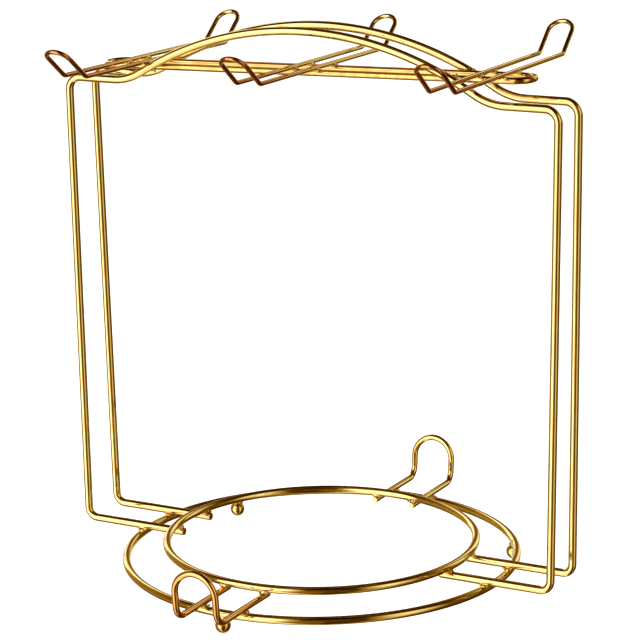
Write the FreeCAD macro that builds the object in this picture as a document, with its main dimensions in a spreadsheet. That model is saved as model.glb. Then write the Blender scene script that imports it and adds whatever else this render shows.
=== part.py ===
import FreeCAD, Part
import math
import os
import Sketcher

# Display rack for six cups and a stack of saucers, made of bent and welded round wire.
# Millimetres. X runs along the two tall hoops, Y along the cup hooks, Z is up.
# The origin is on the table, under the common centre of the two base rings.

DIMENSIONS = {
    # wire and ball stock
    "wire_d": 3.5,              # rings and hoops
    "guard_d": 2.8,
    "rail_d": 2.8,
    "hook_d": 2.0,
    "foot_d": 6.5,
    # how far two pieces sink into each other where they are spot welded
    "ring_sink": 0.4,
    "hook_sink": 0.2,
    "foot_sink": 0.1,
    # base rings, radii of the wire's centre line
    "outer_ring_r": 84.0,
    "inner_ring_r": 66.5,
    # hoops, heights above the level of their own legs
    "leg_y": 11.4,
    "leg_end_x": 62.5,
    "post_foot_x": 112.0,
    "post_top_x": 114.0,
    "shoulder_z": 198.0,
    "shoulder_r": 26.0,
    "arch_z": 223.0,
    "arch_r": 153.0,
    "post_foot_bend_r": 4.5,
    "post_top_bend_r": 5.5,
    "hoop_lean": 0.4,           # degrees, each hoop leans towards the other
    # saucer guards
    "guard_half_w": 9.35,
    "guard_end_y": 63.2,
    "guard_y": 103.8,
    "guard_upright": 11.5,
    "rear_guard_upright": 10.0,
    "rear_guard_x": 2.4,        # the rear guard stands a little to the right
    "guard_rise": 85.0,         # degrees
    "guard_bend_r": 5.5,
    # rail loop under the cup hooks
    "rail_z": 217.0,
    "rail_half_w": 7.0,
    "rail_straight_x": 92.0,
    "rail_tilt": 1.2,           # degrees, the right-hand end is the higher one
    # cup hooks
    "hook_left_x": -79.8,
    "hook_middle_x": 0.4,
    "hook_right_x": 84.2,
    "hook_left_turn": -1.6,     # degrees, seen from above
    "hook_middle_turn": 0.0,
    "hook_right_turn": 1.0,
    "hook_half_w": 5.3,
    "hook_bend_y": 53.5,
    "hook_tip": 13.2,
    "hook_rise": 39.5,          # degrees
    "hook_bend_r": 3.2,
    # weld beads, as parts of the thicker wire's diameter
    "bead_spread": 0.66,
    "bead_height": 0.28,
}

OUTER_RING_Z = "Dims.foot_d - Dims.foot_sink + Dims.wire_d / 2"
LEG_Z = OUTER_RING_Z + " + Dims.wire_d - Dims.ring_sink"
INNER_RING_Z = LEG_Z + " + Dims.wire_d - Dims.ring_sink"
HOOK_ABOVE_RAIL = "(Dims.rail_d + Dims.hook_d) / 2 - Dims.hook_sink"
# the rail crosses the arch at the ends of a chord: how far the rail passes over the arch's
# centre, where the middle of the chord is, and half its length, both along the rail
RAIL_OVER_ARCH = "(Dims.rail_z - (%s) - Dims.arch_z + Dims.arch_r)" % LEG_Z
CHORD_MIDDLE = "-%s * sin(Dims.rail_tilt)" % RAIL_OVER_ARCH
HALF_CHORD = "sqrt(Dims.arch_r^2 - (%s * cos(Dims.rail_tilt))^2)" % RAIL_OVER_ARCH

FEET = {"foot_front": -90, "foot_rear_right": 35, "foot_rear_left": 146}
HOOKS = ("hook_left", "hook_middle", "hook_right")
CORNERS = ((1, 1), (1, -1), (-1, 1), (-1, -1))

ORIGIN, H_AXIS, V_AXIS = -1, -1, -2
START, END, CENTRE = 1, 2, 3

doc = FreeCAD.newDocument("CupRack")
nodes = []


def make_sheet():
    sheet = doc.addObject("Spreadsheet::Sheet", "Dims")
    for row, (alias, size) in enumerate(DIMENSIONS.items(), start=1):
        sheet.set("A%d" % row, alias)
        sheet.set("B%d" % row, str(size))
        sheet.setAlias("B%d" % row, alias)
    doc.recompute()


def bind(target, **expressions):
    """Bind properties to expressions; a double underscore stands for a dot."""
    for name, expression in expressions.items():
        target.setExpression(name.replace("__", "."), expression)


def place(target, prop="Placement", x=None, y=None, z=None, axis=None, angle=None):
    """Bind a placement to the sheet: a shift, and a turn about one axis."""
    if axis:
        turn = FreeCAD.Rotation(FreeCAD.Vector(*axis), 10)
        setattr(target, prop, FreeCAD.Placement(FreeCAD.Vector(), turn))
        target.setExpression(prop + ".Rotation.Angle", angle)
    for letter, expression in (("x", x), ("y", y), ("z", z)):
        if expression:
            target.setExpression(prop + ".Base." + letter, expression)


def place_on_rail(target, along="0", across="0", above="0", turn="0"):
    """Bind a placement in the tilted rail's own frame: along it, across it and above it."""
    x = "({along}) * cos(Dims.rail_tilt) - ({above}) * sin(Dims.rail_tilt)".format(along=along, above=above)
    z = "({along}) * sin(Dims.rail_tilt) + ({above}) * cos(Dims.rail_tilt)".format(along=along, above=above)
    target.setExpression(
        "Placement",
        "create(<<placement>>; create(<<vector>>; %s; %s; Dims.rail_z + %s); "
        "create(<<rotation>>; %s; -Dims.rail_tilt; 0))" % (x, across, z, turn))


def new_body(label):
    body = doc.addObject("PartDesign::Body", label)
    body.Label = label
    nodes.append(body)
    return body


def origin_plane(body, role):
    return next(feature for feature in body.Origin.OriginFeatures if feature.Role == role)


def new_sketch(body, name, role, **offset):
    """A sketch on one of the body's own planes; offset is in the plane's own axes."""
    sketch = body.newObject("Sketcher::SketchObject", body.Name + "_" + name)
    sketch.AttachmentSupport = [(origin_plane(body, role), "")]
    sketch.MapMode = "FlatFace"
    place(sketch, "AttachmentOffset", **offset)
    return sketch


def dimension(sketch, name, expression, kind, *geometry):
    """Add one dimension to a sketch and bind it to the sheet."""
    index = sketch.addConstraint(Sketcher.Constraint(kind, *geometry))
    sketch.renameConstraint(index, name)
    sketch.setExpression("Constraints." + name, expression)


def section(body, name, role, diameter, centre=None, **offset):
    """A round wire section on one of the body's planes, centred on the sketch's first axis."""
    sketch = new_sketch(body, name, role, **offset)
    middle = DIMENSIONS[centre] if centre else 0
    size = DIMENSIONS[diameter]
    outline = Part.Circle(FreeCAD.Vector(middle, 0, 0), FreeCAD.Vector(0, 0, 1), size / 2)
    circle = sketch.addGeometry(outline)
    if centre:
        sketch.addConstraint(Sketcher.Constraint("PointOnObject", circle, CENTRE, H_AXIS))
        dimension(sketch, "centre", "Dims." + centre, "DistanceX", ORIGIN, START, circle, CENTRE, middle)
    else:
        sketch.addConstraint(Sketcher.Constraint("Coincident", circle, CENTRE, ORIGIN, START))
    dimension(sketch, "diameter", "Dims." + diameter, "Diameter", circle, size)
    return sketch


def bent_path(sketch, corners, bends):
    """Straight runs through the sharp corners, with tangent bends that all turn left.

    bends names the radius at each inner corner. Returns the lines, and one construction
    point on each sharp corner.
    """
    radii = [DIMENSIONS[bend] for bend in bends]
    points = [FreeCAD.Vector(*corner, 0) for corner in corners]
    headings = [(b - a).normalize() for a, b in zip(points, points[1:])]
    turns = [a.getAngle(b) for a, b in zip(headings, headings[1:])]
    trims = [0] + [radius * math.tan(turn / 2) for radius, turn in zip(radii, turns)] + [0]
    lines = []
    for i, heading in enumerate(headings):
        run = Part.LineSegment(points[i] + heading * trims[i], points[i + 1] - heading * trims[i + 1])
        lines.append(sketch.addGeometry(run))
    marks = []
    for i, (turn, radius) in enumerate(zip(turns, radii)):
        left = FreeCAD.Vector(-headings[i].y, headings[i].x, 0)
        centre = points[i + 1] - headings[i] * trims[i + 1] + left * radius
        start = math.atan2(-left.y, -left.x)
        circle = Part.Circle(centre, FreeCAD.Vector(0, 0, 1), radius)
        bend = sketch.addGeometry(Part.ArcOfCircle(circle, start, start + turn))
        sketch.addConstraint(Sketcher.Constraint("Tangent", lines[i], END, bend, START))
        sketch.addConstraint(Sketcher.Constraint("Tangent", bend, END, lines[i + 1], START))
        dimension(sketch, "bend_%d" % i, "Dims." + bends[i], "Radius", bend, radius)
        mark = sketch.addGeometry(Part.Point(points[i + 1]), True)
        sketch.addConstraint(Sketcher.Constraint("PointOnObject", mark, START, lines[i]))
        sketch.addConstraint(Sketcher.Constraint("PointOnObject", mark, START, lines[i + 1]))
        marks.append(mark)
    return lines, marks


def pipe(body, profile, path):
    feature = body.newObject("PartDesign::AdditivePipe", body.Name + "_wire")
    feature.Profile = profile
    feature.Spine = path
    doc.recompute()
    return feature


def quarter_turn(body, profile, backwards=False):
    """The quarter circle that carries a side wire round to the middle plane."""
    turn = body.newObject("PartDesign::Revolution", body.Name + "_end")
    turn.Profile = profile
    turn.ReferenceAxis = (profile, ["V_Axis"])
    turn.Angle = 90
    turn.Reversed = backwards
    doc.recompute()
    return turn


def mirror(body, features, *roles):
    """Mirror the features across one origin plane, or across two to make all four quarters."""
    copies = []
    for role in roles:
        copy = body.newObject("PartDesign::Mirrored", body.Name + "_mirror_" + role[:2])
        copy.MirrorPlane = (origin_plane(body, role), [""])
        copies.append(copy)
    whole = copies[0]
    if len(copies) > 1:
        whole = body.newObject("PartDesign::MultiTransform", body.Name + "_whole")
        whole.Transformations = copies
    whole.Originals = features
    body.Tip = whole
    doc.recompute()


def make_ring(label, radius, height):
    ring = doc.addObject("Part::Torus", label)
    ring.Label = label
    bind(ring, Radius1="Dims." + radius, Radius2="Dims.wire_d / 2")
    place(ring, z=height)
    nodes.append(ring)
    return ring


def make_foot(label, angle):
    foot = doc.addObject("Part::Sphere", label)
    foot.Label = label
    bind(foot, Radius="Dims.foot_d / 2")
    place(
        foot, z="Dims.foot_d / 2",
        x="Dims.outer_ring_r * cos(%d)" % angle, y="Dims.outer_ring_r * sin(%d)" % angle)
    nodes.append(foot)
    return foot


def make_hoop(label, side):
    """One tall hoop: leg, post, shoulder and half of the arch, mirrored; side is -1 in front."""
    body = new_body(label)
    size = DIMENSIONS
    path = new_sketch(body, "path", "XZ_Plane")
    # the shoulder bend and the arch touch on the line between their centres
    reach = size["arch_r"] + size["shoulder_r"]
    drop = size["shoulder_z"] + size["shoulder_r"] - (size["arch_z"] - size["arch_r"])
    shoulder_x = math.sqrt(reach ** 2 - drop ** 2)
    slope = math.atan2(drop, shoulder_x)
    corners = [
        (size["leg_end_x"], 0),
        (size["post_foot_x"], 0),
        (size["post_top_x"], size["shoulder_z"]),
        (shoulder_x, size["shoulder_z"]),
    ]
    (leg, post, shoulder), (foot, top) = bent_path(path, corners, ["post_foot_bend_r", "post_top_bend_r"])
    up = FreeCAD.Vector(0, 0, 1)
    shoulder_circle = Part.Circle(
        FreeCAD.Vector(shoulder_x, size["shoulder_z"] + size["shoulder_r"], 0), up, size["shoulder_r"])
    rise = path.addGeometry(Part.ArcOfCircle(shoulder_circle, math.pi + slope, 1.5 * math.pi))
    arch_circle = Part.Circle(FreeCAD.Vector(0, size["arch_z"] - size["arch_r"], 0), up, size["arch_r"])
    arch = path.addGeometry(Part.ArcOfCircle(arch_circle, slope, math.pi / 2))
    for constraint in (
        ("Tangent", shoulder, END, rise, END),
        ("Tangent", rise, START, arch, START),
        ("Horizontal", leg),
        ("Horizontal", shoulder),
        ("PointOnObject", leg, START, H_AXIS),
        ("PointOnObject", arch, CENTRE, V_AXIS),
        ("PointOnObject", arch, END, V_AXIS),
    ):
        path.addConstraint(Sketcher.Constraint(*constraint))
    dimension(path, "leg_end", "Dims.leg_end_x", "DistanceX", ORIGIN, START, leg, START, size["leg_end_x"])
    dimension(path, "foot", "Dims.post_foot_x", "DistanceX", ORIGIN, START, foot, START, size["post_foot_x"])
    dimension(path, "top", "Dims.post_top_x", "DistanceX", ORIGIN, START, top, START, size["post_top_x"])
    dimension(path, "height", "Dims.shoulder_z", "DistanceY", ORIGIN, START, top, START, size["shoulder_z"])
    dimension(path, "rise", "Dims.shoulder_r", "Radius", rise, size["shoulder_r"])
    dimension(path, "arch", "Dims.arch_r", "Radius", arch, size["arch_r"])
    dimension(path, "crown", "Dims.arch_z", "DistanceY", ORIGIN, START, arch, END, size["arch_z"])
    profile = section(body, "section", "YZ_Plane", "wire_d", z="Dims.leg_end_x")
    half = pipe(body, profile, path)
    mirror(body, [half], "YZ_Plane")
    place(body, y="Dims.leg_y * %d" % side, z=LEG_Z, axis=(side, 0, 0), angle="Dims.hoop_lean")
    return body


def loop_side(body, width, wire_d, start, corner, tip, rise, bend_r):
    """One half of a loop with a raised end, to one side of the body's middle plane.

    The wire runs along Y, bends up, and turns a quarter circle to the middle plane.
    """
    size = DIMENSIONS
    path = new_sketch(body, "path", "YZ_Plane", z="Dims." + width)
    start_y = size[start] if start else 0
    angle = math.radians(size[rise])
    tip_y = size[corner] + size[tip] * math.cos(angle)
    tip_z = size[tip] * math.sin(angle)
    (run, raised), (mark,) = bent_path(path, [(start_y, 0), (size[corner], 0), (tip_y, tip_z)], [bend_r])
    path.addConstraint(Sketcher.Constraint("Horizontal", run))
    if start:
        path.addConstraint(Sketcher.Constraint("PointOnObject", run, START, H_AXIS))
        dimension(path, "start", "Dims." + start, "DistanceX", ORIGIN, START, run, START, start_y)
    else:
        path.addConstraint(Sketcher.Constraint("Coincident", run, START, ORIGIN, START))
    dimension(path, "corner", "Dims." + corner, "DistanceX", ORIGIN, START, mark, START, size[corner])
    dimension(path, "tip", "Dims." + tip, "Distance", mark, START, raised, END, size[tip])
    dimension(path, "rise", "Dims." + rise, "Angle", raised, angle)
    side = pipe(body, section(body, "start", "XZ_Plane", wire_d, width, z="-%g" % start_y), path)
    names = {"corner": corner, "tip": tip, "rise": rise}
    profile = section(
        body, "end", "XZ_Plane", wire_d, width,
        y="Dims.{tip} * sin(Dims.{rise})".format(**names),
        z="-Dims.{corner} - Dims.{tip} * cos(Dims.{rise})".format(**names),
        axis=(1, 0, 0), angle="Dims." + rise)
    return [side, quarter_turn(body, profile)]


def make_guard(label, upright, turn, x=None):
    """A saucer guard: two legs over the outer ring and under the inner one, with a raised loop."""
    body = new_body(label)
    half = loop_side(
        body, "guard_half_w", "guard_d", "guard_end_y", "guard_y", upright, "guard_rise", "guard_bend_r")
    mirror(body, half, "YZ_Plane")
    place(body, x=x, z=LEG_Z, axis=(0, 0, 1), angle=turn)
    return body


def make_rail_loop(label):
    """The closed loop that carries the cup hooks, between the two hoops."""
    body = new_body(label)
    run = body.newObject("PartDesign::Pad", body.Name + "_run")
    run.Profile = section(body, "start", "YZ_Plane", "rail_d", "rail_half_w")
    bind(run, Length="Dims.rail_straight_x")
    profile = section(body, "end", "YZ_Plane", "rail_d", "rail_half_w", z="Dims.rail_straight_x")
    end = quarter_turn(body, profile, backwards=True)
    mirror(body, [run, end], "YZ_Plane", "XZ_Plane")
    place_on_rail(body)
    return body


def make_hook(label):
    """A double cup hook: a closed narrow loop with both ends bent up."""
    body = new_body(label)
    half = loop_side(
        body, "hook_half_w", "hook_d", None, "hook_bend_y", "hook_tip", "hook_rise", "hook_bend_r")
    mirror(body, half, "YZ_Plane", "XZ_Plane")
    place_on_rail(body, "Dims.%s_x" % label, above=HOOK_ABOVE_RAIL, turn="Dims.%s_turn" % label)
    return body


def bead(name, wire_d, side_on=False):
    """A flat lump of weld where two wires cross; side_on when they lie side by side."""
    lump = doc.addObject("Part::Ellipsoid", name)
    wide = "Dims." + wire_d + " * Dims.bead_spread"
    flat = "Dims." + wire_d + " * Dims.bead_height"
    if side_on:
        bind(lump, Radius1=wide, Radius2=wide, Radius3=flat)
    else:
        bind(lump, Radius1=flat, Radius2=wide, Radius3=wide)
    return lump


def make_welds(label, beads, wires):
    """One node for a group of beads, each trimmed to the wires that it joins."""
    welds = doc.addObject("Part::Compound", label + "_beads")
    welds.Links = beads
    for wire in wires:
        trimmed = doc.addObject("Part::Cut", label + "_trim")
        trimmed.Base = welds
        trimmed.Tool = wire
        welds = trimmed
    welds.Label = label
    nodes.append(welds)


def make_ring_welds(label, ring_r, height, wires):
    """The eight beads where the hoop legs and the guard legs cross one ring."""
    beads = []
    for side_x, side_y in CORNERS:
        leg_bead = bead(label + "_leg", "wire_d")
        place(
            leg_bead, z=height,
            x="%d * sqrt(Dims.%s^2 - Dims.leg_y^2)" % (side_x, ring_r), y="%d * Dims.leg_y" % side_y)
        guard_bead = bead(label + "_guard", "wire_d")
        guard_x = "%d * Dims.guard_half_w" % side_x
        if side_y > 0:
            guard_x += " + Dims.rear_guard_x"
        place(
            guard_bead, z=height,
            x=guard_x, y="%d * sqrt(Dims.%s^2 - (%s)^2)" % (side_y, ring_r, guard_x))
        beads += [leg_bead, guard_bead]
    make_welds(label, beads, wires)


def make_foot_welds(label, wires):
    beads = []
    for angle in FEET.values():
        beads.append(bead("foot_bead", "wire_d"))
        place(
            beads[-1], z="Dims.foot_d - Dims.foot_sink / 2",
            x="Dims.outer_ring_r * cos(%d)" % angle, y="Dims.outer_ring_r * sin(%d)" % angle)
    make_welds(label, beads, wires)


def make_rail_welds(label, wires):
    """The beads where the rail loop passes between the two arches."""
    beads = []
    for side_x, side_y in CORNERS:
        beads.append(bead("rail_bead", "rail_d", side_on=True))
        place_on_rail(
            beads[-1], "%s + %d * %s" % (CHORD_MIDDLE, side_x, HALF_CHORD),
            across="%d * (Dims.rail_half_w + Dims.rail_d / 2)" % side_y)
    make_welds(label, beads, wires)


def make_hook_welds(hook_label, hook, rail):
    """The four beads where one turned hook crosses the two sides of the rail loop."""
    beads = []
    for side_x, side_y in CORNERS:
        along = "Dims.{hook}_x + {x} * Dims.hook_half_w / cos(Dims.{hook}_turn)" \
            " - {y} * Dims.rail_half_w * tan(Dims.{hook}_turn)".format(hook=hook_label, x=side_x, y=side_y)
        beads.append(bead(hook_label + "_bead", "rail_d"))
        place_on_rail(
            beads[-1], along, across="%d * Dims.rail_half_w" % side_y,
            above="Dims.rail_d / 2 - Dims.hook_sink / 2")
    make_welds("welds_" + hook_label, beads, [hook, rail])


def finish():
    doc.recompute()
    os.makedirs("parts", exist_ok=True)
    for thing in doc.Objects:
        if "Invalid" in thing.State or "Error" in thing.State:
            raise RuntimeError(thing.Name + " is in error: " + str(thing.State))
    for node in nodes:
        if node.Shape.isNull() or not node.Shape.isValid():
            raise RuntimeError(node.Label + " has no valid shape")
        node.Shape.exportStep("parts/" + node.Label + ".step")
        print(node.Label, len(node.Shape.Solids), round(node.Shape.Volume, 1), node.Shape.BoundBox)


make_sheet()
outer_ring = make_ring("outer_ring", "outer_ring_r", OUTER_RING_Z)
inner_ring = make_ring("inner_ring", "inner_ring_r", INNER_RING_Z)
feet = [make_foot(label, angle) for label, angle in FEET.items()]
hoops = [make_hoop("hoop_front", -1), make_hoop("hoop_rear", 1)]
guards = [
    make_guard("guard_front", "guard_upright", "180"),
    make_guard("guard_rear", "rear_guard_upright", "0", "Dims.rear_guard_x")]
rail_loop = make_rail_loop("rail_loop")
hooks = [make_hook(label) for label in HOOKS]

half_gap = "(Dims.wire_d - Dims.ring_sink) / 2"
legs = hoops + guards
make_ring_welds("welds_outer_ring", "outer_ring_r", LEG_Z + " - " + half_gap, [outer_ring] + legs)
make_ring_welds("welds_inner_ring", "inner_ring_r", LEG_Z + " + " + half_gap, [inner_ring] + legs)
make_foot_welds("welds_feet", [outer_ring] + feet)
make_rail_welds("welds_rail_to_hoops", [rail_loop] + hoops)
for label, hook in zip(HOOKS, hooks):
    make_hook_welds(label, hook, rail_loop)

finish()
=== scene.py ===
"""Display rack for six teacups and a stack of saucers, in bent, welded and gold-plated wire."""

import math
import random

import bmesh
import bpy
from mathutils import Matrix, Vector
from mathutils.kdtree import KDTree


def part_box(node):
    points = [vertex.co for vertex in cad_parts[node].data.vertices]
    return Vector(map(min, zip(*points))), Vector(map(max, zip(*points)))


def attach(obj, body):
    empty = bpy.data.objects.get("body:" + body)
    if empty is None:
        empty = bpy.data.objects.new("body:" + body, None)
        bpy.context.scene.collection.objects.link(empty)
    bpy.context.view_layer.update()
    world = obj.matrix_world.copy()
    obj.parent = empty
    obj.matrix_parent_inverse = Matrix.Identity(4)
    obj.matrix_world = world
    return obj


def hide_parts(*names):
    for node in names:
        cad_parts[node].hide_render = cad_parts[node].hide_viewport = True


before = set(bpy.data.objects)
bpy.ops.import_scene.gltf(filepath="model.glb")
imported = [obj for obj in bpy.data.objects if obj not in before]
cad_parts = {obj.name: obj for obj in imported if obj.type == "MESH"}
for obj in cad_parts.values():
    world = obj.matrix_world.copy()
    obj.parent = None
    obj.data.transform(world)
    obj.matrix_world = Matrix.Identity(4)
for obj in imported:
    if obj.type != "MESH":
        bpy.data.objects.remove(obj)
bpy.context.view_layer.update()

MM = 0.001
X, Y, Z = Vector((1, 0, 0)), Vector((0, 1, 0)), Vector((0, 0, 1))

# wire, as it comes off the coil
HOOP_WIRE = 3.5 * MM
GUARD_WIRE = 2.8 * MM
RAIL_WIRE = 2.8 * MM
HOOK_WIRE = 2.0 * MM
SIDES = 32                      # of a wire's round section
BEND_STEP = math.radians(7.5)
ARCH_STEP = math.radians(1.5)
CUT_EDGE = 0.35 * MM            # rounding of a cut end
MERGE = 0.02 * MM               # points nearer than this are one
CREASE = math.radians(40)       # sharper edges than this stay sharp

# the hoops' bends, in the order that the wire is fed
LEG_END_X = 62.5 * MM
POST_FOOT_X = 112.0 * MM
POST_TOP_X = 114.0 * MM
POST_FOOT_BEND = 4.5 * MM
POST_TOP_BEND = 5.5 * MM
SHOULDER_Z = 198.0 * MM
SHOULDER_BEND = 26.0 * MM
ARCH_Z = 223.0 * MM
ARCH_R = 153.0 * MM
HOOP_LEAN = math.radians(0.4)
LEG_Y = 11.4 * MM

# saucer guards
GUARD_END_Y = 63.2 * MM
GUARD_CORNER_Y = 103.8 * MM
GUARD_UPRIGHT = {"guard_front": 11.5 * MM, "guard_rear": 10.0 * MM}
GUARD_RISE = math.radians(85)
GUARD_BEND = 5.5 * MM

# rail loop and cup hooks
RAIL_TILT = math.radians(1.2)
RAIL_STRAIGHT = 92.0 * MM
HOOK_HALF_W = 5.3 * MM
HOOK_CORNER_Y = 53.5 * MM
HOOK_TIP = 13.2 * MM
HOOK_RISE = math.radians(39.5)
HOOK_BEND = 3.2 * MM
HOOK_SINK = 0.2 * MM            # into the rail, at the spot welds
HOOK_TURN = {
    "hook_left": math.radians(-1.6),
    "hook_middle": 0.0,
    "hook_right": math.radians(1.0),
}

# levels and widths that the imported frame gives
outer_low, outer_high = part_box("outer_ring")
inner_low, inner_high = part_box("inner_ring")
OUTER_R = (outer_high.x - outer_low.x - HOOP_WIRE) / 2
INNER_R = (inner_high.x - inner_low.x - HOOP_WIRE) / 2
OUTER_Z = (outer_low.z + outer_high.z) / 2
INNER_Z = (inner_low.z + inner_high.z) / 2
LEG_Z = (OUTER_Z + INNER_Z) / 2
guard_low, guard_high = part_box("guard_front")
GUARD_HALF_W = (guard_high.x - guard_low.x - GUARD_WIRE) / 2
rail_low, rail_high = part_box("rail_loop")
RAIL_Z = (rail_low.z + rail_high.z) / 2
RAIL_HALF_W = (rail_high.y - rail_low.y - RAIL_WIRE) / 2
RAIL_HEADING = Vector((math.cos(RAIL_TILT), 0, math.sin(RAIL_TILT)))
HOOK_ABOVE = (RAIL_WIRE + HOOK_WIRE) / 2 - HOOK_SINK


def middle(node):
    """The middle of a CAD node's box."""
    low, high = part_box(node)
    return (low + high) / 2


# ---------------------------------------------------------------- wire bending

class Wire:
    """A length of wire, fed and bent as on a bending machine, from a circle by extrude and spin.

    It keeps the place and heading of every section, so that the surface knows how far along
    the straight wire each point was.
    """

    def __init__(self, name, diameter, start, heading):
        bpy.ops.object.select_all(action="DESELECT")
        facing = heading.to_track_quat("Z", "Y")
        bpy.ops.mesh.primitive_circle_add(
            vertices=SIDES, radius=diameter / 2, location=start, rotation=facing.to_euler())
        self.piece = bpy.context.object
        self.piece.name = self.piece.data.name = "wire_" + name
        bpy.ops.object.transform_apply(location=True, rotation=True, scale=True)
        bpy.ops.object.mode_set(mode="EDIT")
        self.place = start.copy()
        self.heading = heading.normalized()
        self.side = facing @ X
        self.fed = 0.0
        self.sections = []
        self.note_section()

    def note_section(self):
        """Remember where the wire is, how it heads and lies, and how much has been fed."""
        self.sections.append((self.place.copy(), self.heading.copy(), self.side.copy(), self.fed))

    def run(self, length):
        """Feed the wire straight on."""
        bpy.ops.mesh.extrude_region_move(TRANSFORM_OT_translate={"value": self.heading * length})
        self.place += self.heading * length
        self.fed += length
        self.note_section()

    def bend(self, angle, radius, axis, step=BEND_STEP):
        """Bend the wire round a pin, by the right-hand rule about the axis."""
        centre = self.place + axis.cross(self.heading) * radius
        steps = max(3, round(angle / step))
        # the spin tool turns the other way round its axis
        bpy.ops.mesh.spin(steps=steps, angle=angle, center=centre, axis=-axis)
        turn = Matrix.Rotation(angle / steps, 3, axis)
        for _ in range(steps):
            self.place = centre + turn @ (self.place - centre)
            self.heading = turn @ self.heading
            self.side = turn @ self.side
            self.fed += radius * angle / steps
            self.note_section()

    def cut(self):
        """Close both cut ends and round their edges."""
        bpy.ops.mesh.select_all(action="SELECT")
        bpy.ops.mesh.fill_holes(sides=0)
        bpy.ops.mesh.select_all(action="DESELECT")
        bpy.ops.mesh.select_mode(type="EDGE")
        shape = bmesh.from_edit_mesh(self.piece.data)
        for face in shape.faces:
            if len(face.verts) == SIDES:
                for edge in face.edges:
                    edge.select = True
        bmesh.update_edit_mesh(self.piece.data)
        bpy.ops.mesh.bevel(offset=CUT_EDGE, segments=4, affect="EDGES")
        return self.finish()

    def finish(self):
        """Merge what coincides, which also joins a closed loop's last section to its first."""
        bpy.ops.mesh.select_all(action="SELECT")
        bpy.ops.mesh.remove_doubles(threshold=MERGE)
        bpy.ops.mesh.normals_make_consistent(inside=False)
        bpy.ops.object.mode_set(mode="OBJECT")
        self.straighten()
        bpy.ops.object.shade_smooth_by_angle(angle=CREASE)
        return self.piece

    def straighten(self):
        """Note on every point where it was on the straight wire, for finishes that follow it."""
        tree = KDTree(len(self.sections))
        for number, section in enumerate(self.sections):
            tree.insert(section[0], number)
        tree.balance()
        mesh = self.piece.data
        straight = mesh.attributes.new("straight_wire", "FLOAT_VECTOR", "POINT")
        for number, vertex in enumerate(mesh.vertices):
            _, nearest, _ = tree.find(vertex.co)
            place, heading, side, fed = self.sections[nearest]
            offset = vertex.co - place
            straight.data[number].vector = (
                offset.dot(side), offset.dot(heading.cross(side)), fed + offset.dot(heading))


def trim(radius, angle):
    """How far before a sharp corner a bend of that radius starts."""
    return radius * math.tan(angle / 2)


def set_down(piece, placement):
    """Put a piece that was made about the origin in its place, and ride it."""
    piece.data.transform(placement)
    piece.data.update()
    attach(piece, "root")
    return piece


def make_hoop(node, side):
    """Leg, post, shoulder, arch, shoulder, post, leg, in one upright plane that leans inwards."""
    up_turn, over_turn = -Y, Y
    reach = ARCH_R + SHOULDER_BEND
    drop = SHOULDER_Z + SHOULDER_BEND - (ARCH_Z - ARCH_R)
    shoulder_x = math.sqrt(reach ** 2 - drop ** 2)
    climb = math.acos(drop / reach)
    splay = math.atan2(POST_TOP_X - POST_FOOT_X, SHOULDER_Z)
    foot_turn, top_turn = math.pi / 2 - splay, math.pi / 2 + splay
    foot_trim, top_trim = trim(POST_FOOT_BEND, foot_turn), trim(POST_TOP_BEND, top_turn)
    leg = POST_FOOT_X - LEG_END_X - foot_trim
    post = math.hypot(POST_TOP_X - POST_FOOT_X, SHOULDER_Z) - foot_trim - top_trim
    shoulder = POST_TOP_X - top_trim - shoulder_x

    wire = Wire(node, HOOP_WIRE, LEG_END_X * X, X)
    wire.run(leg)
    wire.bend(foot_turn, POST_FOOT_BEND, up_turn)
    wire.run(post)
    wire.bend(top_turn, POST_TOP_BEND, up_turn)
    wire.run(shoulder)
    wire.bend(climb, SHOULDER_BEND, over_turn, ARCH_STEP * 2)
    wire.bend(2 * climb, ARCH_R, up_turn, ARCH_STEP)
    wire.bend(climb, SHOULDER_BEND, over_turn, ARCH_STEP * 2)
    wire.run(shoulder)
    wire.bend(top_turn, POST_TOP_BEND, up_turn)
    wire.run(post)
    wire.bend(foot_turn, POST_FOOT_BEND, up_turn)
    wire.run(leg)
    lean = Matrix.Rotation(side * HOOP_LEAN, 4, "X")
    return set_down(wire.cut(), Matrix.Translation((0, side * LEG_Y, LEG_Z)) @ lean)


def make_ring(node, radius, level):
    """A full turn of wire, joined to itself."""
    wire = Wire(node, HOOP_WIRE, radius * X, Y)
    wire.bend(2 * math.pi, radius, Z, ARCH_STEP)
    return set_down(wire.finish(), Matrix.Translation((0, 0, level)))


def raise_loop(wire, outward, tip, rise, radius, half_w):
    """Bend the wire up, round a half turn and down again; outward is along or against Y."""
    lift_axis = X * outward
    crown_axis = Vector((0, -outward * math.sin(rise), math.cos(rise)))
    straight = tip - trim(radius, rise)
    wire.bend(rise, radius, lift_axis)
    wire.run(straight)
    wire.bend(math.pi, half_w, crown_axis)
    wire.run(straight)
    wire.bend(rise, radius, -lift_axis)


def make_guard(node, turn):
    """Two legs and a raised round loop that keeps the saucers in."""
    leg = GUARD_CORNER_Y - GUARD_END_Y - trim(GUARD_BEND, GUARD_RISE)
    wire = Wire(node, GUARD_WIRE, Vector((GUARD_HALF_W, GUARD_END_Y, 0)), Y)
    wire.run(leg)
    raise_loop(wire, 1, GUARD_UPRIGHT[node], GUARD_RISE, GUARD_BEND, GUARD_HALF_W)
    wire.run(leg)
    centre = middle(node).x
    placement = Matrix.Translation((centre, 0, LEG_Z)) @ Matrix.Rotation(turn, 4, "Z")
    return set_down(wire.cut(), placement)


def on_rail(point, turn=0.0):
    """A placement in the tilted rail's own frame."""
    rail = Matrix.Translation((0, 0, RAIL_Z)) @ Matrix.Rotation(-RAIL_TILT, 4, "Y")
    return rail @ Matrix.Translation(point) @ Matrix.Rotation(turn, 4, "Z")


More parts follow.
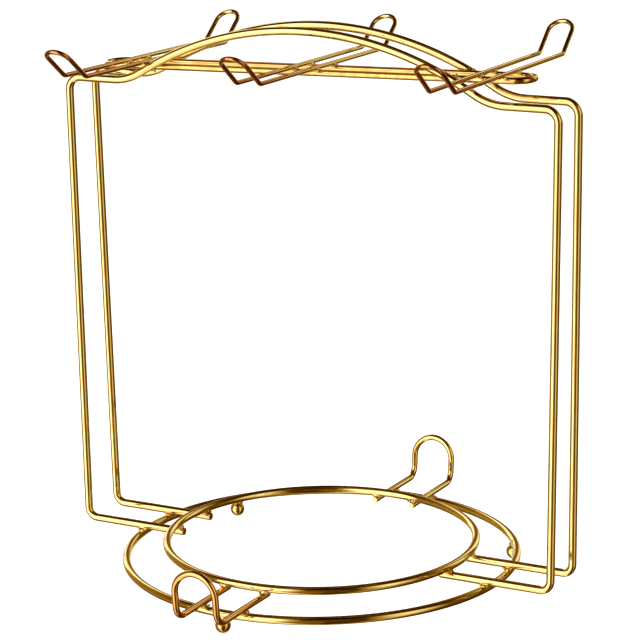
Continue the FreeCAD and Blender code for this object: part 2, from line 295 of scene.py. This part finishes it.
def make_rail():
    """The long narrow closed loop between the hoops."""
    wire = Wire("rail_loop", RAIL_WIRE, Vector((0, -RAIL_HALF_W, 0)), X)
    wire.run(RAIL_STRAIGHT)
    wire.bend(math.pi, RAIL_HALF_W, Z)
    wire.run(2 * RAIL_STRAIGHT)
    wire.bend(math.pi, RAIL_HALF_W, Z)
    wire.run(RAIL_STRAIGHT)
    return set_down(wire.finish(), on_rail((0, 0, 0)))


def make_hook(node):
    """A closed narrow loop across the rail, both ends bent up for a cup's handle."""
    half_run = HOOK_CORNER_Y - trim(HOOK_BEND, HOOK_RISE)
    wire = Wire(node, HOOK_WIRE, HOOK_HALF_W * X, Y)
    wire.run(half_run)
    raise_loop(wire, 1, HOOK_TIP, HOOK_RISE, HOOK_BEND, HOOK_HALF_W)
    wire.run(2 * half_run)
    raise_loop(wire, -1, HOOK_TIP, HOOK_RISE, HOOK_BEND, HOOK_HALF_W)
    wire.run(half_run)
    return set_down(wire.finish(), hook_placement(node))


def hook_placement(node):
    """Where a hook lies across the rail, from the middle of its CAD box and its own turn."""
    along = (middle(node).x + HOOK_ABOVE * math.sin(RAIL_TILT)) / math.cos(RAIL_TILT)
    return on_rail((along, 0, HOOK_ABOVE), HOOK_TURN[node])


# ---------------------------------------------------------------- feet and welds

FOOT_BALL = 6.5 * MM
FOOT_ANGLES = {
    "foot_front": math.radians(-90),
    "foot_rear_right": math.radians(35),
    "foot_rear_left": math.radians(146),
}
FOOT_WEAR = 0.12 * MM           # height of the cap that is flattened
FOOT_REST = 0.02 * MM           # height that it is flattened to
FOOT_CREASE = math.radians(50)
FOOT_SINK = 0.05 * MM           # of a foot's weld below the ball's top
WELD_SKIN = 0.2 * MM            # spacing of the weld metal's surface
WELD_FLOW = 7                   # rounds of smoothing that let the drops run together

# parts of a weld, in diameters of the thicker wire
WELD_REACH = 0.95               # half a short length of wetted wire
WETTED_R = 0.49                 # its radius
POOL_SPREAD = 0.6               # half the width of the melted pool
POOL_HEIGHT = 0.27              # half its height
CORNER_DROP = 0.21              # radius of a drop squeezed into a corner
CORNER_AWAY = 0.47              # how far out a drop lies, each way
CORNER_LIFT = 0.06              # how far up or down it may lie
HOOP_SHARE = 0.46               # of the way from a rail's wire to a hoop's, where they touch


def make_foot(node):
    """A round ball, polished with the rest, worn a little flat where it stands."""
    angle = FOOT_ANGLES[node]
    centre = Vector((OUTER_R * math.cos(angle), OUTER_R * math.sin(angle), FOOT_BALL / 2))
    bpy.ops.object.select_all(action="DESELECT")
    bpy.ops.mesh.primitive_uv_sphere_add(
        segments=64, ring_count=48, radius=FOOT_BALL / 2, location=centre)
    ball = bpy.context.object
    ball.name = ball.data.name = "ball_" + node
    bpy.ops.object.transform_apply(location=True, rotation=True, scale=True)
    bpy.ops.object.mode_set(mode="EDIT")
    bpy.ops.mesh.select_mode(type="VERT")
    bpy.ops.mesh.select_all(action="DESELECT")
    bpy.ops.object.mode_set(mode="OBJECT")
    for vertex in ball.data.vertices:
        vertex.select = vertex.co.z < FOOT_WEAR
    bpy.ops.object.mode_set(mode="EDIT")
    bpy.ops.transform.resize(value=(1, 1, 0), center_override=(centre.x, centre.y, FOOT_WEAR))
    bpy.ops.mesh.select_all(action="SELECT")
    bpy.ops.mesh.normals_make_consistent(inside=False)
    bpy.ops.object.mode_set(mode="OBJECT")
    for vertex in ball.data.vertices:
        if vertex.co.z <= FOOT_WEAR:
            vertex.co.z = FOOT_REST
    bpy.ops.object.shade_smooth_by_angle(angle=FOOT_CREASE)
    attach(ball, "root")
    return ball


def drop(place, size):
    """A drop of metal, before it runs into its neighbours."""
    bpy.ops.mesh.primitive_ico_sphere_add(subdivisions=3, radius=1, location=place)
    bpy.ops.transform.resize(value=size)
    return bpy.context.object


def short_length(place, heading, diameter):
    """The bit of wire that a weld has wetted, just inside the wire's own surface."""
    facing = heading.to_track_quat("Z", "Y")
    bpy.ops.mesh.primitive_cylinder_add(
        vertices=32, radius=diameter * WETTED_R, depth=2 * WELD_REACH * diameter,
        location=place, rotation=facing.to_euler())
    return bpy.context.object


def weld(place, normal, lengths, dice):
    """Parts of one weld: a flat pool, drops in the four corners, and the wetted wires."""
    size = max(diameter for _, _, diameter in lengths)
    parts = [short_length(*length) for length in lengths]
    along = lengths[0][1].normalized()
    across = normal.cross(along).normalized()
    facing = normal.to_track_quat("Z", "Y")
    spread = POOL_SPREAD * size * dice.uniform(0.94, 1.04)
    pool = drop(place, (spread, spread * dice.uniform(0.92, 1.0), POOL_HEIGHT * size))
    pool.rotation_euler = facing.to_euler()
    parts.append(pool)
    for one in (-1, 1):
        for other in (-1, 1):
            radius = CORNER_DROP * size * dice.uniform(0.62, 1.0)
            away = CORNER_AWAY * size * dice.uniform(0.85, 1.08)
            corner = place + along * one * away + across * other * away
            corner += normal * size * dice.uniform(-CORNER_LIFT, CORNER_LIFT)
            parts.append(drop(corner, (radius, radius, radius)))
    return parts


def make_welds(node, welds):
    """All the welds of one node, run together under a smooth skin."""
    bpy.ops.object.select_all(action="DESELECT")
    parts = [part for one in welds for part in one]
    for part in parts:
        part.select_set(True)
    bpy.context.view_layer.objects.active = parts[0]
    bpy.ops.object.join()
    piece = bpy.context.object
    piece.name = piece.data.name = node.replace("welds_", "weld_metal_")
    bpy.ops.object.transform_apply(location=True, rotation=True, scale=True)
    skin = piece.modifiers.new("skin", "REMESH")
    skin.mode = "VOXEL"
    skin.voxel_size = WELD_SKIN
    bpy.ops.object.modifier_apply(modifier="skin")
    flow = piece.modifiers.new("flow", "SMOOTH")
    flow.factor = 0.5
    flow.iterations = WELD_FLOW
    bpy.ops.object.modifier_apply(modifier="flow")
    bpy.ops.object.shade_smooth()
    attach(piece, "root")
    return piece


def ring_welds(radius, ring_level, dice):
    """Where one ring crosses the four hoop legs and the four guard legs."""
    contact = (ring_level + LEG_Z) / 2
    welds = []
    for side in (-1, 1):
        legs = []
        for end in (-1, 1):
            legs.append((end * math.sqrt(radius ** 2 - LEG_Y ** 2), side * LEG_Y, X, HOOP_WIRE))
            shift = middle("guard_rear").x if side > 0 else middle("guard_front").x
            x = end * GUARD_HALF_W + shift
            legs.append((x, side * math.sqrt(radius ** 2 - x ** 2), Y, GUARD_WIRE))
        for x, y, heading, diameter in legs:
            tangent = Vector((-y, x, 0)).normalized()
            ring = (Vector((x, y, ring_level)), tangent, HOOP_WIRE)
            leg = (Vector((x, y, LEG_Z)), heading, diameter)
            welds.append(weld(Vector((x, y, contact)), Z, (ring, leg), dice))
    return welds


def foot_welds(dice):
    """Where each ball meets the underside of the outer ring."""
    welds = []
    for angle in FOOT_ANGLES.values():
        across, along = OUTER_R * math.cos(angle), OUTER_R * math.sin(angle)
        place = Vector((across, along, FOOT_BALL - FOOT_SINK))
        tangent = Vector((-math.sin(angle), math.cos(angle), 0))
        ring = (Vector((place.x, place.y, OUTER_Z)), tangent, HOOP_WIRE)
        welds.append(weld(place, Z, (ring,), dice))
    return welds


def rail_hoop_welds(dice):
    """Where the rail loop's wires lie against the insides of the hoops."""
    height = RAIL_Z - LEG_Z - (ARCH_Z - ARCH_R)
    welds = []
    for side in (-1, 1):
        for end in (-1, 1):
            reach = math.sqrt(ARCH_R ** 2 - (height * math.cos(RAIL_TILT)) ** 2)
            along = end * reach - height * math.sin(RAIL_TILT)
            rail_place = on_rail((along, side * RAIL_HALF_W, 0)).translation
            slope = math.atan2(rail_place.x, height)
            hoop_heading = Vector((math.cos(slope), 0, -math.sin(slope)))
            hoop_y = side * (LEG_Y - (rail_place.z - LEG_Z) * math.sin(HOOP_LEAN))
            hoop_place = Vector((rail_place.x, hoop_y, rail_place.z))
            contact = rail_place.lerp(hoop_place, HOOP_SHARE)
            rail = (rail_place, RAIL_HEADING, RAIL_WIRE)
            hoop = (hoop_place, hoop_heading, HOOP_WIRE)
            welds.append(weld(contact, Y, (rail, hoop), dice))
    return welds


def hook_welds(node, dice):
    """Spot welds of one hook's two wires on the rail's two wires."""
    placement = hook_placement(node)
    hook_heading = (placement.to_3x3() @ Y).normalized()
    above = (placement.to_3x3() @ Z).normalized()
    turn = HOOK_TURN[node]
    welds = []
    for side in (-1, 1):
        for end in (-1, 1):
            along = end * HOOK_HALF_W / math.cos(turn) - side * RAIL_HALF_W * math.tan(turn)
            hook_place = placement.translation + RAIL_HEADING * along + Y * side * RAIL_HALF_W
            rail_place = hook_place - above * HOOK_ABOVE
            contact = rail_place + above * (RAIL_WIRE / 2 - HOOK_SINK / 2)
            rail = (rail_place, RAIL_HEADING, RAIL_WIRE)
            hook = (hook_place, hook_heading, HOOK_WIRE)
            welds.append(weld(contact, above, (rail, hook), dice))
    return welds


# ---------------------------------------------------------------- finishes

def add_node(tree, kind, **values):
    """A shader node with its settings."""
    node = tree.nodes.new(kind)
    for name, value in values.items():
        setattr(node, name, value)
    return node


def new_group(name, inputs, outputs):
    """An empty shader group with named sockets."""
    group = bpy.data.node_groups.new(name, "ShaderNodeTree")
    for socket, kind in inputs:
        group.interface.new_socket(socket, in_out="INPUT", socket_type=kind)
    for socket, kind in outputs:
        group.interface.new_socket(socket, in_out="OUTPUT", socket_type=kind)
    return group, group.nodes.new("NodeGroupInput"), group.nodes.new("NodeGroupOutput")


def drawing_marks():
    """Fine lines that the drawing die leaves along the wire, softened by the plating."""
    group, given, out = new_group(
        "drawing_marks",
        [("Wire place", "NodeSocketVector"), ("Fineness", "NodeSocketFloat")],
        [("Height", "NodeSocketFloat")])
    stretch = add_node(group, "ShaderNodeVectorMath", operation="MULTIPLY")
    stretch.inputs[1].default_value = (1.0, 1.0, 0.03)
    lines = add_node(group, "ShaderNodeTexNoise")
    lines.inputs["Detail"].default_value = 3.0
    group.links.new(given.outputs["Wire place"], stretch.inputs[0])
    group.links.new(stretch.outputs[0], lines.inputs["Vector"])
    group.links.new(given.outputs["Fineness"], lines.inputs["Scale"])
    group.links.new(lines.outputs["Fac"], out.inputs["Height"])
    return group


def plating_ripple():
    """Low waves and orange peel of the polish under the plating."""
    group, given, out = new_group(
        "plating_ripple",
        [("Wire place", "NodeSocketVector"), ("Wave size", "NodeSocketFloat")],
        [("Height", "NodeSocketFloat")])
    stretch = add_node(group, "ShaderNodeVectorMath", operation="MULTIPLY")
    stretch.inputs[1].default_value = (1.0, 1.0, 0.35)
    waves = add_node(group, "ShaderNodeTexNoise")
    waves.inputs["Detail"].default_value = 2.0
    waves.inputs["Roughness"].default_value = 0.4
    group.links.new(given.outputs["Wire place"], stretch.inputs[0])
    group.links.new(stretch.outputs[0], waves.inputs["Vector"])
    group.links.new(given.outputs["Wave size"], waves.inputs["Scale"])
    group.links.new(waves.outputs["Fac"], out.inputs["Height"])
    return group


def plating_tone():
    """Thick plating that is yellow, thin plating that is redder, in drifts along the wire."""
    group, given, out = new_group(
        "plating_tone",
        [("Place", "NodeSocketVector"), ("Thick", "NodeSocketColor"), ("Thin", "NodeSocketColor"),
         ("Drift", "NodeSocketFloat")],
        [("Color", "NodeSocketColor")])
    drifts = add_node(group, "ShaderNodeTexNoise")
    drifts.inputs["Detail"].default_value = 4.0
    ramp = add_node(group, "ShaderNodeMapRange")
    ramp.inputs["From Min"].default_value = 0.38
    ramp.inputs["From Max"].default_value = 0.66
    mix = add_node(group, "ShaderNodeMix", data_type="RGBA")
    group.links.new(given.outputs["Place"], drifts.inputs["Vector"])
    group.links.new(given.outputs["Drift"], drifts.inputs["Scale"])
    group.links.new(drifts.outputs["Fac"], ramp.inputs["Value"])
    group.links.new(ramp.outputs["Result"], mix.inputs["Factor"])
    group.links.new(given.outputs["Thick"], mix.inputs["A"])
    group.links.new(given.outputs["Thin"], mix.inputs["B"])
    group.links.new(mix.outputs["Result"], out.inputs["Color"])
    return group


def pits_and_smudges():
    """Pinholes in the plating, and dull smudges where it was handled."""
    group, given, out = new_group(
        "pits_and_smudges",
        [("Place", "NodeSocketVector"), ("Pit spacing", "NodeSocketFloat"),
         ("Smudge spacing", "NodeSocketFloat")],
        [("Pits", "NodeSocketFloat"), ("Smudges", "NodeSocketFloat")])
    cells = add_node(group, "ShaderNodeTexVoronoi")
    pits = add_node(group, "ShaderNodeMapRange")
    pits.inputs["From Min"].default_value = 0.16
    pits.inputs["From Max"].default_value = 0.06
    gate = add_node(group, "ShaderNodeTexNoise")
    gate_cut = add_node(group, "ShaderNodeMapRange")
    gate_cut.inputs["From Min"].default_value = 0.55
    gate_cut.inputs["From Max"].default_value = 0.64
    both = add_node(group, "ShaderNodeMath", operation="MULTIPLY")
    dull = add_node(group, "ShaderNodeTexNoise")
    dull.inputs["Detail"].default_value = 5.0
    dull_cut = add_node(group, "ShaderNodeMapRange")
    dull_cut.inputs["From Min"].default_value = 0.52
    dull_cut.inputs["From Max"].default_value = 0.72
    group.links.new(given.outputs["Place"], cells.inputs["Vector"])
    group.links.new(given.outputs["Pit spacing"], cells.inputs["Scale"])
    group.links.new(cells.outputs["Distance"], pits.inputs["Value"])
    group.links.new(given.outputs["Place"], gate.inputs["Vector"])
    group.links.new(given.outputs["Smudge spacing"], gate.inputs["Scale"])
    group.links.new(gate.outputs["Fac"], gate_cut.inputs["Value"])
    group.links.new(pits.outputs["Result"], both.inputs[0])
    group.links.new(gate_cut.outputs["Result"], both.inputs[1])
    group.links.new(given.outputs["Place"], dull.inputs["Vector"])
    group.links.new(given.outputs["Smudge spacing"], dull.inputs["Scale"])
    group.links.new(dull.outputs["Fac"], dull_cut.inputs["Value"])
    group.links.new(both.outputs[0], out.inputs["Pits"])
    group.links.new(dull_cut.outputs["Result"], out.inputs["Smudges"])
    return group


MARKS = drawing_marks()
RIPPLE = plating_ripple()
TONE = plating_tone()
PITS = pits_and_smudges()
SOOT = (0.035, 0.018, 0.006, 1)     # at the bottom of a pinhole
PAINTED_REFLECTION_FADE = (15 * MM, -55 * MM)    # where the painted reflection starts to redden the plating, and is reddest
# how many of each lie in a metre
DRIFTS, PIT_CELLS, SMUDGE_SPOTS, WAVE_CRESTS, DRAWN_LINES = 90.0, 1100.0, 240.0, 420.0, 4200.0


def paint_front_reflection(tree, color, red):
    """Painted reflection: the plating is painted redder on the ends at the front, standing in for
    the warm room mirrored there.
    """
    here = add_node(tree, "ShaderNodeTexCoord").outputs["Object"]
    split = add_node(tree, "ShaderNodeSeparateXYZ")
    front = add_node(tree, "ShaderNodeMapRange")
    front.inputs["From Min"].default_value = PAINTED_REFLECTION_FADE[0]
    front.inputs["From Max"].default_value = PAINTED_REFLECTION_FADE[1]
    mix = add_node(tree, "ShaderNodeMix", data_type="RGBA")
    mix.inputs["B"].default_value = red
    tree.links.new(here, split.inputs[0])
    tree.links.new(split.outputs["Y"], front.inputs["Value"])
    tree.links.new(front.outputs["Result"], mix.inputs["Factor"])
    tree.links.new(color, mix.inputs["A"])
    return mix.outputs["Result"]


def gold_finish(
        name, thick, thin, polish, smudged, line_depth, wave_depth, on_wire=True, painted_front_red=None):
    """Bright gold plating over welded steel; lines and waves follow the wire."""
    material = bpy.data.materials.new(name)
    material.use_nodes = True
    tree = material.node_tree
    metal = tree.nodes["Principled BSDF"]
    metal.inputs["Metallic"].default_value = 1.0
    here = add_node(tree, "ShaderNodeTexCoord").outputs["Object"]
    if on_wire:
        wire_place = add_node(tree, "ShaderNodeAttribute", attribute_name="straight_wire")
        follow = wire_place.outputs["Vector"]
    else:
        follow = here

    tone = add_node(tree, "ShaderNodeGroup", node_tree=TONE)
    tone.inputs["Thick"].default_value = thick
    tone.inputs["Thin"].default_value = thin
    tone.inputs["Drift"].default_value = DRIFTS
    tree.links.new(follow, tone.inputs["Place"])

    flaws = add_node(tree, "ShaderNodeGroup", node_tree=PITS)
    flaws.inputs["Pit spacing"].default_value = PIT_CELLS
    flaws.inputs["Smudge spacing"].default_value = SMUDGE_SPOTS
    tree.links.new(here, flaws.inputs["Place"])

    pitted = add_node(tree, "ShaderNodeMix", data_type="RGBA")
    pitted.inputs["B"].default_value = SOOT
    tree.links.new(flaws.outputs["Pits"], pitted.inputs["Factor"])
    plating = tone.outputs["Color"]
    # painted reflection: the plating is painted redder towards the front
    if painted_front_red:
        plating = paint_front_reflection(tree, plating, painted_front_red)
    tree.links.new(plating, pitted.inputs["A"])
    tree.links.new(pitted.outputs["Result"], metal.inputs["Base Color"])

    dulled = add_node(tree, "ShaderNodeMapRange")
    dulled.inputs["To Min"].default_value = polish
    dulled.inputs["To Max"].default_value = smudged
    tree.links.new(flaws.outputs["Smudges"], dulled.inputs["Value"])
    tree.links.new(dulled.outputs["Result"], metal.inputs["Roughness"])

    waves = add_node(tree, "ShaderNodeGroup", node_tree=RIPPLE)
    waves.inputs["Wave size"].default_value = WAVE_CRESTS
    tree.links.new(follow, waves.inputs["Wire place"])
    wave_bump = add_node(tree, "ShaderNodeBump")
    wave_bump.inputs["Strength"].default_value = 1.0
    wave_bump.inputs["Distance"].default_value = wave_depth
    tree.links.new(waves.outputs["Height"], wave_bump.inputs["Height"])

    lines = add_node(tree, "ShaderNodeGroup", node_tree=MARKS)
    lines.inputs["Fineness"].default_value = DRAWN_LINES
    tree.links.new(follow, lines.inputs["Wire place"])
    line_bump = add_node(tree, "ShaderNodeBump")
    line_bump.inputs["Strength"].default_value = 1.0
    line_bump.inputs["Distance"].default_value = line_depth
    tree.links.new(lines.outputs["Height"], line_bump.inputs["Height"])
    tree.links.new(wave_bump.outputs["Normal"], line_bump.inputs["Normal"])
    tree.links.new(line_bump.outputs["Normal"], metal.inputs["Normal"])
    return material


YELLOW_GOLD = (0.91, 0.68, 0.22, 1)
AMBER_GOLD = (0.87, 0.60, 0.17, 1)
RED_GOLD = (0.70, 0.37, 0.07, 1)
# reds painted onto the front ends, a painted reflection of the warm room in front
PAINTED_REFLECTION_RED = (0.86, 0.46, 0.12, 1)
DEEP_PAINTED_REFLECTION_RED = (0.62, 0.25, 0.05, 1)
LINES = 0.002 * MM              # depth of the drawing lines
WAVES = 0.03 * MM               # depth of the polish's waves

finishes = {
    "base_wire": gold_finish(
        "plated_base_wire", YELLOW_GOLD, AMBER_GOLD, 0.045, 0.13, LINES, WAVES),
    "hoop_wire": gold_finish(
        "plated_hoop_wire", YELLOW_GOLD, AMBER_GOLD, 0.035, 0.1, LINES, WAVES * 0.7),
    "guard_wire": gold_finish(
        "plated_guard_wire", YELLOW_GOLD, AMBER_GOLD, 0.045, 0.13, LINES, WAVES),
    "rail_wire": gold_finish(
        "plated_rail_wire", AMBER_GOLD, RED_GOLD, 0.045, 0.12, LINES, WAVES),
    # the hooks' front ends are painted redder, a painted reflection
    "hook_wire": gold_finish(
        "plated_hook_wire", YELLOW_GOLD, AMBER_GOLD, 0.045, 0.13, LINES, WAVES * 0.7,
        painted_front_red=DEEP_PAINTED_REFLECTION_RED),
    # the front foot is painted redder, a painted reflection
    "foot_ball": gold_finish(
        "plated_foot_ball", YELLOW_GOLD, AMBER_GOLD, 0.05, 0.14, LINES * 0.5, WAVES,
        on_wire=False, painted_front_red=PAINTED_REFLECTION_RED),
    "weld_metal": gold_finish(
        "plated_weld_metal", YELLOW_GOLD, RED_GOLD, 0.12, 0.26, LINES * 0.5, WAVES * 1.6,
        on_wire=False),
}
# painted reflection: the front guard is painted redder than the rear one, standing in for the
# warm room mirrored in front
front_guard_painted_reflection_finish = gold_finish(
    "front_guard_wire_painted_reflection", AMBER_GOLD, RED_GOLD, 0.05, 0.14, LINES, WAVES,
    painted_front_red=PAINTED_REFLECTION_RED)


def hand_over(piece, node, slot):
    """Give a piece its finish and hide the CAD node that it stands for."""
    # the front guard takes the finish with the painted reflection
    finish = front_guard_painted_reflection_finish if node == "guard_front" else finishes[slot]
    piece.data.materials.clear()
    piece.data.materials.append(finish)
    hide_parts(node)


hand_over(make_ring("outer_ring", OUTER_R, OUTER_Z), "outer_ring", "base_wire")
hand_over(make_ring("inner_ring", INNER_R, INNER_Z), "inner_ring", "base_wire")
hand_over(make_hoop("hoop_front", -1), "hoop_front", "hoop_wire")
hand_over(make_hoop("hoop_rear", 1), "hoop_rear", "hoop_wire")
hand_over(make_guard("guard_front", math.pi), "guard_front", "guard_wire")
hand_over(make_guard("guard_rear", 0.0), "guard_rear", "guard_wire")
hand_over(make_rail(), "rail_loop", "rail_wire")
for hook in HOOK_TURN:
    hand_over(make_hook(hook), hook, "hook_wire")
for foot in FOOT_ANGLES:
    hand_over(make_foot(foot), foot, "foot_ball")

FIRST_SEED = 40
welds_by_node = {
    "welds_outer_ring": lambda dice: ring_welds(OUTER_R, OUTER_Z, dice),
    "welds_inner_ring": lambda dice: ring_welds(INNER_R, INNER_Z, dice),
    "welds_feet": foot_welds,
    "welds_rail_to_hoops": rail_hoop_welds,
    "welds_hook_left": lambda dice: hook_welds("hook_left", dice),
    "welds_hook_middle": lambda dice: hook_welds("hook_middle", dice),
    "welds_hook_right": lambda dice: hook_welds("hook_right", dice),
}
for seed, (node, welder) in enumerate(welds_by_node.items()):
    dice = random.Random(FIRST_SEED + seed)
    hand_over(make_welds(node, welder(dice)), node, "weld_metal")


# ---------------------------------------------------------------- studio

CAMERA_PLACE = Vector((502.32, -914.56, 375.29)) * MM
CAMERA_YAW = 0.50127
CAMERA_PITCH = 0.248184         # downwards
CAMERA_ROLL = -0.018217
CAMERA_LENS = 143.59            # mm
CAMERA_SENSOR = 36.0            # mm
CAMERA_NEAR, CAMERA_FAR = 0.05, 20.0


def place_camera():
    """The camera at its measured place, turned and slightly rolled."""
    forward = Vector((
        -math.sin(CAMERA_YAW) * math.cos(CAMERA_PITCH),
        math.cos(CAMERA_YAW) * math.cos(CAMERA_PITCH),
        -math.sin(CAMERA_PITCH)))
    level = Vector((math.cos(CAMERA_YAW), math.sin(CAMERA_YAW), 0))
    upward = level.cross(forward)
    right = math.cos(CAMERA_ROLL) * level + math.sin(CAMERA_ROLL) * upward
    top = -math.sin(CAMERA_ROLL) * level + math.cos(CAMERA_ROLL) * upward
    lens = bpy.data.cameras.new("camera")
    lens.lens = CAMERA_LENS
    lens.sensor_width = CAMERA_SENSOR
    lens.clip_start = CAMERA_NEAR
    lens.clip_end = CAMERA_FAR
    camera = bpy.data.objects.new("camera", lens)
    bpy.context.scene.collection.objects.link(camera)
    turn = Matrix((right, top, -forward)).transposed().to_4x4()
    camera.matrix_world = Matrix.Translation(CAMERA_PLACE) @ turn
    bpy.context.scene.camera = camera


# how bright the studio is all round, in degrees from the camera towards its right,
# below the horizon and above it
WALLS_BELOW = (
    (-180, 0.30), (-160, 0.24), (-148, 0.12), (-92, 0.11), (-80, 0.12), (-75, 0.9), (-34, 0.95),
    (-26, 0.34), (-16, 0.10), (-2, 0.085), (3, 0.03), (24, 0.025), (32, 0.17), (46, 0.36),
    (60, 0.19), (72, 0.05), (100, 0.035), (132, 0.04), (146, 0.07), (158, 0.28), (180, 0.30),
)
WALLS_ABOVE = (
    (-180, 0.06), (-172, 0.08), (-166, 0.55), (-150, 0.65), (-143, 0.12), (-92, 0.06),
    (-80, 0.08), (-75, 0.95), (-28, 0.98), (-20, 0.30), (-12, 0.05), (24, 0.02), (34, 0.20),
    (48, 0.5), (62, 0.3), (76, 0.05), (102, 0.04), (110, 0.30), (123, 0.36), (130, 0.06),
    (138, 0.05), (144, 0.42), (156, 0.4), (164, 0.08), (180, 0.06),
)
HORIZON = 0.04                  # half the height over which one takes over from the other
# how much of the walls' light is left, from straight down to straight up
STUDIO_HEIGHTS = (
    (-1.0, 0.5), (-0.75, 0.5), (-0.58, 0.42), (-0.42, 1.0), (0.5, 1.0), (0.62, 0.6), (0.75, 0.08),
    (1.0, 0.05),
)
# the darker the wall the warmer its light; the soft box is cool daylight
STUDIO_WARMTH = (
    (0.0, (1.0, 0.45, 0.04)), (0.06, (1.0, 0.55, 0.09)), (0.11, (1.0, 0.70, 0.20)),
    (0.21, (1.0, 0.86, 0.48)), (0.29, (1.0, 0.95, 0.88)), (0.6, (0.9, 0.88, 1.0)),
    (1.0, (0.74, 0.74, 1.0)),
)
STUDIO_LIGHT = 2.95             # strength of a wall that is 1 above
BACKGROUND = 1.0                # what the camera itself sees behind the object
TABLE_R = 6.0
TABLE_GLOW = 0.72
SOFT_BOX_SIZE = 1.8
SOFT_BOX_HEIGHT = 1.8
SOFT_BOX_POWER = 24.0


def fill_ramp(ramp_node, stops, low, high):
    """Put stops given in their own units on a colour ramp."""
    ramp = ramp_node.color_ramp
    while len(ramp.elements) > 1:
        ramp.elements.remove(ramp.elements[-1])
    for number, (place, value) in enumerate(stops):
        position = (place - low) / (high - low)
        element = ramp.elements[0] if number == 0 else ramp.elements.new(position)
        element.position = position
        element.color = (*value, 1) if isinstance(value, tuple) else (value, value, value, 1)


def light_studio():
    """Light walls all round, a big soft box at the left, and dark gaps between them."""
    world = bpy.data.worlds.new("studio")
    world.use_nodes = True
    tree = world.node_tree
    background = tree.nodes["Background"]
    direction = add_node(tree, "ShaderNodeTexCoord").outputs["Generated"]
    towards = add_node(tree, "ShaderNodeVectorMath", operation="DOT_PRODUCT")
    towards.inputs[1].default_value = (math.sin(CAMERA_YAW), -math.cos(CAMERA_YAW), 0)
    rightwards = add_node(tree, "ShaderNodeVectorMath", operation="DOT_PRODUCT")
    rightwards.inputs[1].default_value = (math.cos(CAMERA_YAW), math.sin(CAMERA_YAW), 0)
    tree.links.new(direction, towards.inputs[0])
    tree.links.new(direction, rightwards.inputs[0])
    angle = add_node(tree, "ShaderNodeMath", operation="ARCTAN2")
    tree.links.new(rightwards.outputs["Value"], angle.inputs[0])
    tree.links.new(towards.outputs["Value"], angle.inputs[1])
    part = add_node(tree, "ShaderNodeMapRange")
    part.inputs["From Min"].default_value = -math.pi
    part.inputs["From Max"].default_value = math.pi
    tree.links.new(angle.outputs[0], part.inputs["Value"])
    below = add_node(tree, "ShaderNodeValToRGB")
    above = add_node(tree, "ShaderNodeValToRGB")
    fill_ramp(below, WALLS_BELOW, -180, 180)
    fill_ramp(above, WALLS_ABOVE, -180, 180)
    tree.links.new(part.outputs["Result"], below.inputs["Fac"])
    tree.links.new(part.outputs["Result"], above.inputs["Fac"])

    split = add_node(tree, "ShaderNodeSeparateXYZ")
    tree.links.new(direction, split.inputs[0])
    horizon = add_node(tree, "ShaderNodeMapRange")
    horizon.inputs["From Min"].default_value = -HORIZON
    horizon.inputs["From Max"].default_value = HORIZON
    tree.links.new(split.outputs["Z"], horizon.inputs["Value"])
    walls = add_node(tree, "ShaderNodeMix", data_type="RGBA")
    tree.links.new(horizon.outputs["Result"], walls.inputs["Factor"])
    tree.links.new(below.outputs["Color"], walls.inputs["A"])
    tree.links.new(above.outputs["Color"], walls.inputs["B"])
    level = add_node(tree, "ShaderNodeMapRange")
    level.inputs["From Min"].default_value = -1.0
    tree.links.new(split.outputs["Z"], level.inputs["Value"])
    heights = add_node(tree, "ShaderNodeValToRGB")
    fill_ramp(heights, STUDIO_HEIGHTS, -1, 1)
    tree.links.new(level.outputs["Result"], heights.inputs["Fac"])

    lit = add_node(tree, "ShaderNodeMath", operation="MULTIPLY")
    tree.links.new(walls.outputs["Result"], lit.inputs[0])
    tree.links.new(heights.outputs["Color"], lit.inputs[1])
    warmth = add_node(tree, "ShaderNodeValToRGB")
    fill_ramp(warmth, STUDIO_WARMTH, 0, 1)
    tree.links.new(lit.outputs[0], warmth.inputs["Fac"])
    bright = add_node(tree, "ShaderNodeMath", operation="MULTIPLY")
    bright.inputs[1].default_value = STUDIO_LIGHT
    tree.links.new(lit.outputs[0], bright.inputs[0])
    ray = add_node(tree, "ShaderNodeLightPath")
    seen = add_node(tree, "ShaderNodeMix", data_type="FLOAT")
    seen.inputs["B"].default_value = BACKGROUND
    tree.links.new(ray.outputs["Is Camera Ray"], seen.inputs["Factor"])
    tree.links.new(bright.outputs[0], seen.inputs["A"])
    tree.links.new(seen.outputs["Result"], background.inputs["Strength"])
    shade = add_node(tree, "ShaderNodeMix", data_type="RGBA")
    shade.inputs["B"].default_value = (1, 1, 1, 1)
    tree.links.new(ray.outputs["Is Camera Ray"], shade.inputs["Factor"])
    tree.links.new(warmth.outputs["Color"], shade.inputs["A"])
    tree.links.new(shade.outputs["Result"], background.inputs["Color"])
    bpy.context.scene.world = world


def lay_floor():
    """A plain white table top; the wires mirror the studio, not the table."""
    bpy.ops.object.select_all(action="DESELECT")
    bpy.ops.mesh.primitive_circle_add(vertices=96, radius=TABLE_R, fill_type="NGON")
    floor = bpy.context.object
    floor.name = floor.data.name = "floor"
    floor.visible_glossy = False
    material = bpy.data.materials.new("white_table")
    material.use_nodes = True
    surface = material.node_tree.nodes["Principled BSDF"]
    surface.inputs["Base Color"].default_value = (0.9, 0.9, 0.9, 1)
    surface.inputs["Roughness"].default_value = 0.9
    surface.inputs["Emission Color"].default_value = (1, 1, 1, 1)
    surface.inputs["Emission Strength"].default_value = TABLE_GLOW
    floor.data.materials.append(material)


def hang_soft_box():
    """A wide soft box overhead that only lights the table."""
    lamp = bpy.data.lights.new("soft_box", "AREA")
    lamp.shape = "DISK"
    lamp.size = SOFT_BOX_SIZE
    lamp.energy = SOFT_BOX_POWER
    soft_box = bpy.data.objects.new("soft_box", lamp)
    soft_box.location = (0, 0, SOFT_BOX_HEIGHT)
    soft_box.visible_glossy = False
    bpy.context.scene.collection.objects.link(soft_box)


place_camera()
light_studio()
lay_floor()
hang_soft_box()
bpy.context.scene.view_settings.view_transform = "Standard"
